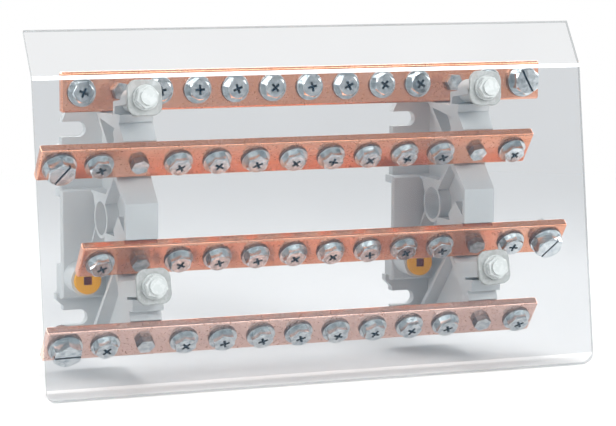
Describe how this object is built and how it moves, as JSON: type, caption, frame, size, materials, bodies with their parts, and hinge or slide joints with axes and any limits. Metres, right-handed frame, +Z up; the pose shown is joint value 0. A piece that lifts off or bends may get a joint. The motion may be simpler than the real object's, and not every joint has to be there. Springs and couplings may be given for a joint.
{
  "type": "bus bar distribution block",
  "caption": "Stepped bus bar block: copper bars with terminal screws on open-web supports, under a bent clear cover held by nylon bolts.",
  "frame": {"origin": "on the wall plane, half way between the two supports and half way between their upper and lower fixing slots", "axes": "+X along the bars to the right, +Y into the wall, +Z up"},
  "size_m": [0.2892, 0.0871, 0.1745],
  "materials": {
    "grey_plastic": "fine satin moulding",
    "brass": "turned",
    "yellow_plastic": "satin moulding",
    "copper": "polished copper",
    "zinc_plated_steel": "bright zinc plating",
    "clear_plastic": "clear gloss",
    "white_nylon": "translucent satin"
  },
  "bodies": {
    "block": {"support_left": "grey_plastic", "inserts_left": "brass", "support_right": "grey_plastic", "inserts_right": "brass", "bar_1": "copper", "terminal_screws_1": "zinc_plated_steel", "terminal_washers_1": "zinc_plated_steel", "fixing_bolts_1": "zinc_plated_steel", "bar_2": "copper", "terminal_screws_2": "zinc_plated_steel", "terminal_washers_2": "zinc_plated_steel", "fixing_bolts_2": "zinc_plated_steel", "bar_3": "copper", "terminal_screws_3": "zinc_plated_steel", "terminal_washers_3": "zinc_plated_steel", "fixing_bolts_3": "zinc_plated_steel", "bar_4": "copper", "terminal_screws_4": "zinc_plated_steel", "terminal_washers_4": "zinc_plated_steel", "fixing_bolts_4": "zinc_plated_steel", "end_bolts": "zinc_plated_steel", "end_washers": "zinc_plated_steel", "cover_sheet": "clear_plastic", "cover_washers": "white_nylon", "cover_bolts": "white_nylon"},
    "left_lock": {"rail_lock_left": "yellow_plastic"},
    "right_lock": {"rail_lock_right": "yellow_plastic"}
  },
  "joints": [
    {"name": "left_lock_turn", "type": "hinge", "parent": "block", "child": "left_lock", "pos_m": [-0.1072, -0.0242, -0.026], "axis": [0, 1, 0], "range_deg": [0, 90]},
    {"name": "right_lock_turn", "type": "hinge", "parent": "block", "child": "right_lock", "pos_m": [0.0728, -0.0242, -0.026], "axis": [0, 1, 0], "range_deg": [0, 90]}
  ]
}
